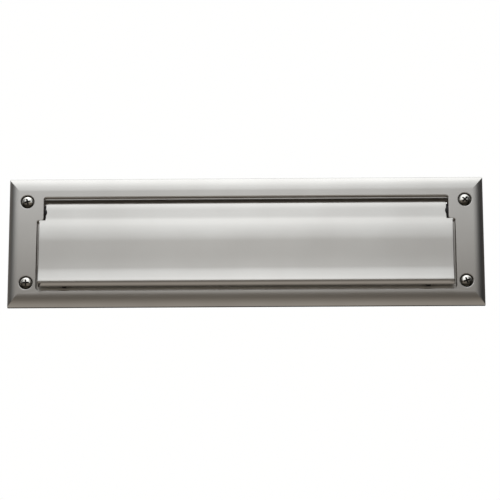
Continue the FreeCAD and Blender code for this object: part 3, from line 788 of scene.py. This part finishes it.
def build_flap():
    places = (FLAP_END_START, FLAP_CORNER_START, FLAP_HALF + BEYOND)
    flap = prism_x(flap_section(), *[-place for place in places[::-1]], *places)
    combine(flap, "INTERSECT", [prism_y(flap_outline(), -WHOLE_DEPTH, WHOLE_DEPTH)])
    combine(flap, "UNION", [flap_fin()])
    combine(flap, "DIFFERENCE", end_cuts(1) + end_cuts(-1))
    combine(flap, "DIFFERENCE", [rod(PIN_RADIUS + RUNNING_CLEARANCE, -FLAP_HALF, FLAP_HALF)])
    return soften(flap, flap_edge_width)


# Screws


def screw_profile():
    """Outline (radius, y) of the screw's head and shank: domed crown, rounded rim, tapered seat and neck."""
    reach = math.degrees(math.asin(HEAD_RADIUS / CROWN_RADIUS))
    corners = []
    for step in range(CROWN_STEPS):
        forward, out = polar(CROWN_RADIUS, reach * step / CROWN_STEPS)
        corners.append((out, CROWN_Y + CROWN_RADIUS - forward, 0))
    neck_y = RIM_Y + (HEAD_RADIUS - NECK_RADIUS) / COUNTERSINK_SLOPE
    corners += [
        (HEAD_RADIUS, RIM_Y, HEAD_RIM_ROUNDING),
        (NECK_RADIUS, neck_y, NECK_ROUNDING),
        (NECK_RADIUS, SHANK_START, 0),
        (SHANK_RADIUS, SHANK_START, SHANK_START_ROUNDING),
        (SHANK_RADIUS, SHANK_END, SHANK_END_ROUNDING),
        (0, SHANK_END, 0),
    ]
    return rounded(corners)


def thread_radius(along, round_share, length):
    """Radius of the threaded end. Its ridge grows out of the root, and the whole shrinks to a point."""
    grown, pointed = min(1, along / THREAD_PITCH), min(1, (length - along) / TIP_LENGTH)
    phase = (along / THREAD_PITCH + round_share) % 1
    ridge = max(0, 1 - abs(phase - 0.5) / THREAD_RIDGE_HALF) * grown
    return pointed * (THREAD_ROOT_RADIUS + (SHANK_RADIUS - THREAD_ROOT_RADIUS) * ridge)


def screw_thread():
    """Threaded end of the screw, which starts a little inside the shank."""
    length = THREAD_TURNS * THREAD_PITCH + TIP_LENGTH + THREAD_OVERLAP
    rows = round(length / THREAD_PITCH * THREAD_ROWS)
    rings = []
    for row in range(rows):
        along = length * row / rows
        ring = []
        for step in range(THREAD_SEGMENTS):
            round_share = step / THREAD_SEGMENTS
            across, up = polar(thread_radius(along, round_share, length), 360 * round_share)
            ring.append((across, SHANK_END - THREAD_OVERLAP + along, up))
        rings.append(ring)
    return solid(loft(rings))


def recess_arm(across):
    """One slot of the cross recess, narrower at its floor. across swaps its length and width."""
    rings = []
    for depth in (-BEYOND, RECESS_DEPTH):
        half = RECESS_TOP_HALF + (RECESS_FLOOR_HALF - RECESS_TOP_HALF) * depth / RECESS_DEPTH
        corners = rectangle(-half, half, -RECESS_WIDTH / 2, RECESS_WIDTH / 2, RECESS_CORNER_RADIUS)
        points = [(b, a) if across else (a, b) for a, b in rounded(corners)]
        rings.append([(a, CROWN_Y + depth, b) for a, b in points])
    return solid(loft(rings))


def build_screws():
    """Four screws in one mesh, each turned to its own angle as a hand-driven screw is."""
    screw = turned(screw_profile(), front_to_back(0, 0), SCREW_SEGMENTS)
    combine(screw, "UNION", [screw_thread()])
    combine(screw, "DIFFERENCE", [recess_arm(False), recess_arm(True)])
    screws = bmesh.new()
    for (across, up), turn in SCREW_TURNS.items():
        copy = screw.data.copy()
        copy.transform(Matrix.Rotation(math.radians(-turn), 4, "Y"))
        copy.transform(Matrix.Translation((across * SCREW_X, 0, up * SCREW_Z)))
        screws.from_mesh(copy)
    bpy.data.objects.remove(screw)
    return solid(screws)


# Torsion springs


def spring_path(side):
    """Centre line of one spring, from the tip of the leg on the plate to the tip of the leg on the flap."""
    turn = (SPRING_TURNS * 360 + FLAP_LEG_LEAN - PLATE_LEG_LEAN) / 360
    steps = round(turn * COIL_STEPS)
    coil = []
    for step in range(steps + 1):
        back, up = polar(SPRING_COIL_RADIUS, PLATE_LEG_LEAN + 360 * turn * step / steps)
        along = SPRING_START + turn * SPRING_PITCH * (1 - step / steps)
        coil.append(Vector((side * along, AXIS_Y + back, AXIS_Z + up)))
    first, last = (coil[0] - coil[1]).normalized(), (coil[-1] - coil[-2]).normalized()
    plate_leg = [coil[0] + first * PLATE_LEG_LENGTH * share for share in reversed(LEG_SHARES)]
    flap_leg = [coil[-1] + last * FLAP_LEG_LENGTH * share for share in LEG_SHARES]
    return plate_leg + coil + flap_leg


def build_wire(path, radius):
    """Round wire swept along a path, with its ends a little rounded off."""
    rings = []
    aside = (path[1] - path[0]).orthogonal().normalized()
    blunt = WIRE_END_LENGTH * radius
    for index, point in enumerate(path):
        before, after = path[max(index - 1, 0)], path[min(index + 1, len(path) - 1)]
        ahead = (after - before).normalized()
        aside = (aside - ahead * aside.dot(ahead)).normalized()
        other = ahead.cross(aside)
        around = [polar(1, 360 * step / WIRE_SIDES) for step in range(WIRE_SIDES)]
        ring = [aside * a + other * b for a, b in around]
        rims = [(0, 1)]
        if index == 0:
            rims = [(-blunt, WIRE_END_SHARE), (0, 1)]
        if index == len(path) - 1:
            rims = [(0, 1), (blunt, WIRE_END_SHARE)]
        for shift, share in rims:
            rings.append([point + ahead * shift + out * radius * share for out in ring])
    return solid(loft(rings))


# Materials

# Most of a noise's values lie in NOISE_RANGE. SHEEN_SHARE is how much a roughness drifts up and down.
NOISE_RANGE = (0.3, 0.7)
CLOUD_SCALE = 28.0
CLOUD_DETAIL = 3.0
GRAIN_DETAIL = 2.0
SHEEN_SHARE = 0.07
EVEN = (1, 1, 1)
# Painted shade on a screw head's underside stands in for the dark reflection there. It is full where the Z of
# the surface's direction is below the first value, and ends at the second.
UNDERSIDE_SHADE_COLOUR = (0.06, 0.055, 0.045)
UNDERSIDE_SHADE_RANGE = (-0.40, -0.22)
# Limits of the painted shade, in millimetres: how far behind the face it starts in a countersink, how close to
# the outer walls and how far from the back it lies on them, and how far it reaches round a cross recess, below
# its floor and up to the crown.
COUNTERSINK_SHADE_START = 0.2
WALL_SHADE_DEPTH = 0.2
WALL_SHADE_END = 0.3
RECESS_SHADE_ROUND = 0.3
RECESS_SHADE_BELOW = 0.1
RECESS_SHADE_TOP = 0.05


def material(name):
    """New material, with its nodes and links."""
    made = bpy.data.materials.new(name)
    made.use_nodes = True
    return made, made.node_tree.nodes, made.node_tree.links


def noise(nodes, links, coordinates, scale, stretch, detail):
    """Noise in the piece's own coordinates, drawn out along each axis by stretch."""
    mapping = nodes.new("ShaderNodeMapping")
    mapping.inputs["Scale"].default_value = [scale / along for along in stretch]
    texture = nodes.new("ShaderNodeTexNoise")
    texture.inputs["Scale"].default_value = 1.0
    texture.inputs["Detail"].default_value = detail
    links.new(coordinates, mapping.inputs["Vector"])
    links.new(mapping.outputs["Vector"], texture.inputs["Vector"])
    return texture.outputs["Fac"]


def spread(nodes, links, factor, low, high):
    """Maps a noise value to a range."""
    reach = nodes.new("ShaderNodeMapRange")
    reach.inputs["From Min"].default_value, reach.inputs["From Max"].default_value = NOISE_RANGE
    reach.inputs["To Min"].default_value = low
    reach.inputs["To Max"].default_value = high
    links.new(factor, reach.inputs["Value"])
    return reach.outputs["Result"]


def mixed(nodes, links, factor, first, second):
    """Mix of two colours. Each is three numbers or the output of a node."""
    mix = nodes.new("ShaderNodeMix")
    mix.data_type = "RGBA"
    for place, colour in (("A", first), ("B", second)):
        if isinstance(colour, tuple):
            mix.inputs[place].default_value = (*colour, 1)
        else:
            links.new(colour, mix.inputs[place])
    links.new(factor, mix.inputs["Factor"])
    return mix.outputs["Result"]


def finish(name, tones, roughness, grain, metallic=1.0):
    """Surface that drifts between two tones, with uneven sheen and a grain of (scale, height, stretch)."""
    made, nodes, links = material(name)
    shader = nodes["Principled BSDF"]
    coordinates = nodes.new("ShaderNodeTexCoord").outputs["Object"]
    cloud = noise(nodes, links, coordinates, CLOUD_SCALE, EVEN, CLOUD_DETAIL)
    scale, height, stretch = grain
    fine = noise(nodes, links, coordinates, scale, stretch, GRAIN_DETAIL)
    links.new(mixed(nodes, links, spread(nodes, links, cloud, 0, 1), *tones), shader.inputs["Base Color"])
    shader.inputs["Metallic"].default_value = metallic
    low, high = roughness * (1 - SHEEN_SHARE), roughness * (1 + SHEEN_SHARE)
    links.new(spread(nodes, links, cloud, low, high), shader.inputs["Roughness"])
    bump = nodes.new("ShaderNodeBump")
    bump.inputs["Strength"].default_value = 1.0
    bump.inputs["Distance"].default_value = height
    links.new(fine, bump.inputs["Height"])
    links.new(bump.outputs["Normal"], shader.inputs["Normal"])
    return made


def satin_nickel():
    """Plated zinc, brushed along the plate: warm grey, soft reflections."""
    tones = ((0.63, 0.61, 0.575), (0.61, 0.588, 0.553))
    return finish("satin_nickel", tones, 0.30, (4200.0, 0.000004, (6, 1, 1)))


def bright_nickel():
    """Plated screw, polished by tumbling, with painted shade on the side that faces down."""
    tones = ((0.93, 0.90, 0.83), (0.87, 0.84, 0.77))
    made = finish("bright_nickel", tones, 0.17, (2600.0, 0.000003, EVEN))
    nodes, links = made.node_tree.nodes, made.node_tree.links
    # Painted shade: the colour turns dark where the surface faces down.
    split = nodes.new("ShaderNodeSeparateXYZ")
    links.new(nodes.new("ShaderNodeNewGeometry").outputs["Normal"], split.inputs["Vector"])
    facing = nodes.new("ShaderNodeMapRange")
    facing.inputs["From Min"].default_value, facing.inputs["From Max"].default_value = UNDERSIDE_SHADE_RANGE
    links.new(split.outputs["Z"], facing.inputs["Value"])
    base = nodes["Principled BSDF"].inputs["Base Color"]
    unshaded = base.links[0].from_socket
    links.new(mixed(nodes, links, facing.outputs["Result"], UNDERSIDE_SHADE_COLOUR, unshaded), base)
    return made


def turned_steel():
    """Plain steel rod, with fine lines from turning round its length."""
    tones = ((0.52, 0.52, 0.53), (0.44, 0.44, 0.45))
    return finish("turned_steel", tones, 0.28, (5200.0, 0.000006, (0.5, 6, 6)))


def spring_steel():
    """Dark drawn wire, a little oily."""
    tones = ((0.30, 0.30, 0.31), (0.20, 0.19, 0.18))
    return finish("spring_steel", tones, 0.35, (3800.0, 0.000005, (2, 1, 1)))


def nylon():
    """Black moulded nylon with a faint mould texture."""
    tones = ((0.028, 0.028, 0.03), (0.02, 0.02, 0.022))
    return finish("nylon", tones, 0.45, (2400.0, 0.00001, EVEN), metallic=0.0)


def rubber():
    """Soft black rubber, matt and slightly dusty."""
    tones = ((0.035, 0.034, 0.032), (0.022, 0.022, 0.022))
    return finish("rubber", tones, 0.72, (3000.0, 0.00002, EVEN), metallic=0.0)


def painted_shade():
    """Painted shade: a dull dark coat for the hollows, gaps and walls where shade falls."""
    tones = ((0.030, 0.026, 0.020), (0.014, 0.012, 0.010))
    return finish("painted_shade", tones, 0.55, (3000.0, 0.00001, EVEN), metallic=0.2)


def dress(names, made):
    """Gives CAD nodes their finish."""
    for name in names:
        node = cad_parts[name]
        node.data.materials.clear()
        node.data.materials.append(made)


def patch(obj, made, is_inside):
    """Gives a second material to the faces whose centre, in millimetres, passes a test."""
    obj.data.materials.append(made)
    for face in obj.data.polygons:
        if is_inside(face.center / MM):
            face.material_index = 1


def from_screw(point):
    """Distance of a point from the nearest screw's axis."""
    return math.hypot(abs(point.x) - SCREW_X, abs(point.z) - SCREW_Z)


def in_countersink(point):
    """Whether a point lies behind the face, within a countersink's radius of a screw's axis."""
    return from_screw(point) < COUNTERSINK_RADIUS and point.y > FACE_Y + COUNTERSINK_SHADE_START


def on_edge_wall(point):
    """Whether a point lies on the plate's short outer walls, behind the rolled edges."""
    outside = max(abs(point.x) - HALF_WIDTH, abs(point.z) - HALF_HEIGHT)
    return outside > -WALL_SHADE_DEPTH and point.y < -WALL_SHADE_END


def on_dark_part(point):
    """Whether a point on the plate lies where shade is painted."""
    return in_countersink(point) or on_edge_wall(point)


def in_end_gap(point):
    """Whether a point lies on the ends of the flap's fin, deep in the gaps beside the ears."""
    return abs(point.x) > FLAP_NARROW_HALF + ON_SURFACE and point.z > AXIS_Z


def in_recess(point):
    """Whether a point lies below the crown's own surface, inside the cross recess."""
    out = from_screw(point)
    deepest = CROWN_Y + RECESS_DEPTH + RECESS_SHADE_BELOW
    if out > RECESS_TOP_HALF + RECESS_SHADE_ROUND or point.y > deepest:
        return False
    crown_y = CROWN_Y + CROWN_RADIUS - math.sqrt(CROWN_RADIUS**2 - out**2)
    return point.y > crown_y + RECESS_SHADE_TOP


def make_spring(name, side, wire):
    """Wound spring whose coil twists between its leg on the plate and its leg on the flap."""
    path, node = spring_path(side), f"torsion_spring_{name}"
    wound = build_wire(path, SPRING_WIRE_RADIUS)
    spring = piece(wound, f"{node}_wound", wire, None, node)
    coil_end = abs(path[len(LEG_SHARES)].x)
    start, end = [Vector((side * along, AXIS_Y, AXIS_Z)) * MM for along in (coil_end, SPRING_START)]
    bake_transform(spring, "plate", "flap", start, end)


def make_pieces():
    # The dark coat made here is painted shade.
    plating, wire, shade_paint = satin_nickel(), spring_steel(), painted_shade()
    plate = piece(build_face_plate(), "face_plate_shell", plating, "plate", "face_plate")
    crease_mitres(plate)
    # Painted shade in the countersinks and on the plate's outer walls.
    patch(plate, shade_paint, on_dark_part)
    flap = piece(build_flap(), "flap_shell", plating, "flap", "flap")
    # Painted shade on the ends of the fin, deep in the gaps beside the ears.
    patch(flap, shade_paint, in_end_gap)
    bright = bright_nickel()
    screws = piece(build_screws(), "screws_threaded", bright, "plate", "mounting_screws")
    # Painted shade inside the cross recesses.
    patch(screws, shade_paint, in_recess)
    for name, side in (("left", -1), ("right", 1)):
        make_spring(name, side, wire)
        dress([f"retaining_clip_{name}"], wire)
    dress(["hinge_pin"], turned_steel())
    dress(["spacer_washer_left", "spacer_washer_right"], nylon())
    dress(["flap_bumper_left", "flap_bumper_right"], rubber())


# Stage

# Camera, in metres and degrees, with its lens and sensor in millimetres
CAMERA_TARGET = Vector((0.0028, 0.0, -0.0052))
CAMERA_DISTANCE = 1.634
CAMERA_AZIMUTH = 1.0
CAMERA_ELEVATION = -14.51
CAMERA_ROLL = -0.08
CAMERA_LENS = 169.2
SENSOR_WIDTH = 36.0
FARTHEST_SEEN = 20.0


def place_camera():
    """Long lens a little below the plate, looking slightly up at it."""
    data = bpy.data.cameras.new("camera")
    data.lens = CAMERA_LENS
    data.sensor_width = SENSOR_WIDTH
    data.clip_end = FARTHEST_SEEN
    camera = bpy.data.objects.new("camera", data)
    level, drop = polar(CAMERA_DISTANCE, CAMERA_ELEVATION)
    ahead, aside = polar(level, CAMERA_AZIMUTH)
    camera.location = CAMERA_TARGET + Vector((aside, -ahead, drop))
    aim = (CAMERA_TARGET - camera.location).to_track_quat("-Z", "Y").to_matrix().to_4x4()
    roll = Matrix.Rotation(math.radians(CAMERA_ROLL), 4, "Z")
    camera.matrix_world = Matrix.Translation(camera.location) @ aim @ roll
    bpy.context.scene.collection.objects.link(camera)
    bpy.context.scene.camera = camera


# The studio away from the softbox, by direction: its radiance at each height (Z), and the share of it that is
# left to each side (X) and in front and behind (Y). It is dimmer behind the plate, where the door would be.
STUDIO_SKY = [
    (-1.0, 0.38),
    (-0.82, 0.43),
    (-0.60, 0.33),
    (-0.36, 0.12),
    (-0.10, 0.06),
    (0.10, 0.12),
    (0.24, 0.36),
    (0.50, 1.10),
    (0.80, 1.48),
    (1.0, 1.70),
]
STUDIO_SIDES = [
    (-1.0, 0.80),
    (-0.94, 0.35),
    (-0.85, 0.14),
    (-0.60, 0.50),
    (-0.30, 0.90),
    (0.0, 1.0),
    (0.30, 0.85),
    (0.60, 0.40),
    (0.80, 0.10),
    (0.90, 0.06),
    (1.0, 0.45),
]
STUDIO_DEPTHS = [
    (-1.0, 1.0),
    (0.10, 1.0),
    (0.50, 0.42),
    (1.0, 0.42),
]
BACKDROP = (1.0, 1.0, 0.995)

# A wide softbox stands in front of the plate. Its radiance at each height, and the share of it that is left
# to each side, are by place, in metres.
SOFTBOX_Y = -0.5
SOFTBOX_HEIGHTS = [
    (-0.32, 0.28),
    (-0.16, 0.14),
    (0.03, 0.13),
    (0.075, 0.19),
    (0.10, 0.36),
    (0.135, 0.68),
    (0.16, 0.88),
    (0.19, 1.04),
    (0.30, 1.17),
    (0.50, 1.24),
    (0.62, 1.48),
    (1.10, 1.70),
]
SOFTBOX_SIDES = [
    (-1.10, 0.03),
    (-0.86, 0.12),
    (-0.70, 0.25),
    (-0.59, 0.38),
    (-0.50, 0.56),
    (-0.42, 0.70),
    (-0.28, 0.82),
    (-0.16, 0.87),
    (0.0, 1.0),
    (0.16, 0.83),
    (0.22, 0.75),
    (0.27, 0.67),
    (0.32, 0.58),
    (0.385, 0.50),
    (0.46, 0.32),
    (0.54, 0.17),
    (0.65, 0.08),
    (0.80, 0.03),
    (1.40, 0.02),
]
FLOOR_Z = -0.6
FLOOR_HALF = 6.0

# Red, green and blue of dim parts of the studio, and of those from BRIGHT_LEVEL up
DIM_TINT = (1.15, 1.0, 0.83)
BRIGHT_TINT = (0.97, 1.0, 1.03)
BRIGHT_LEVEL = 0.9


def studio_colour(level):
    """Dim parts of the studio are warm, bright parts neutral."""
    share = min(level / BRIGHT_LEVEL, 1)
    parts = [dim + (bright - dim) * share for dim, bright in zip(DIM_TINT, BRIGHT_TINT)]
    return (*[level * part for part in parts], 1)


def grey(level):
    return (level, level, level, 1)


def ramp(nodes, links, value, stops, colour):
    """Smooth ramp through (place, level) stops. colour turns a level into a colour."""
    first, last = stops[0][0], stops[-1][0]
    reach = nodes.new("ShaderNodeMapRange")
    reach.inputs["From Min"].default_value = first
    reach.inputs["From Max"].default_value = last
    links.new(value, reach.inputs["Value"])
    made = nodes.new("ShaderNodeValToRGB")
    made.color_ramp.interpolation = "EASE"
    elements = made.color_ramp.elements
    while len(elements) < len(stops):
        elements.new(0.5)
    for element, (place, level) in zip(elements, stops):
        element.position = (place - first) / (last - first)
        element.color = colour(level)
    links.new(reach.outputs["Result"], made.inputs["Fac"])
    return made.outputs["Color"]


def build_world():
    """White backdrop for the camera. All else sees a soft studio, bright above and dim at eye level."""
    world = bpy.data.worlds.new("studio")
    bpy.context.scene.world = world
    world.use_nodes = True
    nodes, links = world.node_tree.nodes, world.node_tree.links
    nodes.clear()
    split = nodes.new("ShaderNodeSeparateXYZ")
    links.new(nodes.new("ShaderNodeTexCoord").outputs["Generated"], split.inputs["Vector"])
    studio = nodes.new("ShaderNodeBackground")
    links.new(ramp(nodes, links, split.outputs["Z"], STUDIO_SKY, studio_colour), studio.inputs["Color"])
    strength = nodes.new("ShaderNodeMath")
    strength.operation = "MULTIPLY"
    links.new(ramp(nodes, links, split.outputs["X"], STUDIO_SIDES, grey), strength.inputs[0])
    links.new(ramp(nodes, links, split.outputs["Y"], STUDIO_DEPTHS, grey), strength.inputs[1])
    links.new(strength.outputs["Value"], studio.inputs["Strength"])
    backdrop = nodes.new("ShaderNodeBackground")
    backdrop.inputs["Color"].default_value = (*BACKDROP, 1)
    mix = nodes.new("ShaderNodeMixShader")
    links.new(nodes.new("ShaderNodeLightPath").outputs["Is Camera Ray"], mix.inputs["Fac"])
    links.new(studio.outputs["Background"], mix.inputs[1])
    links.new(backdrop.outputs["Background"], mix.inputs[2])
    output = nodes.new("ShaderNodeOutputWorld")
    links.new(mix.outputs["Shader"], output.inputs["Surface"])


def stage_sheet(name, corners, made):
    """Flat sheet of the set. It isn't part of the letter plate."""
    bm = bmesh.new()
    bm.faces.new([bm.verts.new(corner) for corner in corners])
    mesh = bpy.data.meshes.new(name)
    bm.to_mesh(mesh)
    bm.free()
    mesh.materials.append(made)
    sheet = bpy.data.objects.new(name, mesh)
    bpy.context.scene.collection.objects.link(sheet)
    return sheet


def build_softbox():
    """Softbox that reflects in the metal, but that the camera doesn't see and that casts no shadow."""
    made, nodes, links = material("softbox_glow")
    nodes.remove(nodes["Principled BSDF"])
    split = nodes.new("ShaderNodeSeparateXYZ")
    links.new(nodes.new("ShaderNodeTexCoord").outputs["Object"], split.inputs["Vector"])
    glow = nodes.new("ShaderNodeEmission")
    links.new(ramp(nodes, links, split.outputs["Z"], SOFTBOX_HEIGHTS, studio_colour), glow.inputs["Color"])
    links.new(ramp(nodes, links, split.outputs["X"], SOFTBOX_SIDES, grey), glow.inputs["Strength"])
    links.new(glow.outputs["Emission"], nodes["Material Output"].inputs["Surface"])
    left, right = SOFTBOX_SIDES[0][0], SOFTBOX_SIDES[-1][0]
    low, high = SOFTBOX_HEIGHTS[0][0], SOFTBOX_HEIGHTS[-1][0]
    corners = [(x, SOFTBOX_Y, z) for x, z, _ in rectangle(left, right, low, high)]
    sheet = stage_sheet("softbox", corners, made)
    sheet.visible_camera = False
    sheet.visible_shadow = False


def build_floor():
    """Pale floor below the plate, out of the camera's sight."""
    tones = ((0.86, 0.86, 0.85), (0.83, 0.83, 0.82))
    made = finish("floor_paint", tones, 0.6, (40.0, 0.0005, EVEN), metallic=0.0)
    floor = rectangle(-FLOOR_HALF, FLOOR_HALF, -FLOOR_HALF, FLOOR_HALF)
    corners = [(x, y, FLOOR_Z) for x, y, _ in floor]
    stage_sheet("floor", corners, made).visible_glossy = False


make_pieces()
build_floor()
build_softbox()
place_camera()
build_world()
bpy.context.scene.view_settings.view_transform = "Standard"
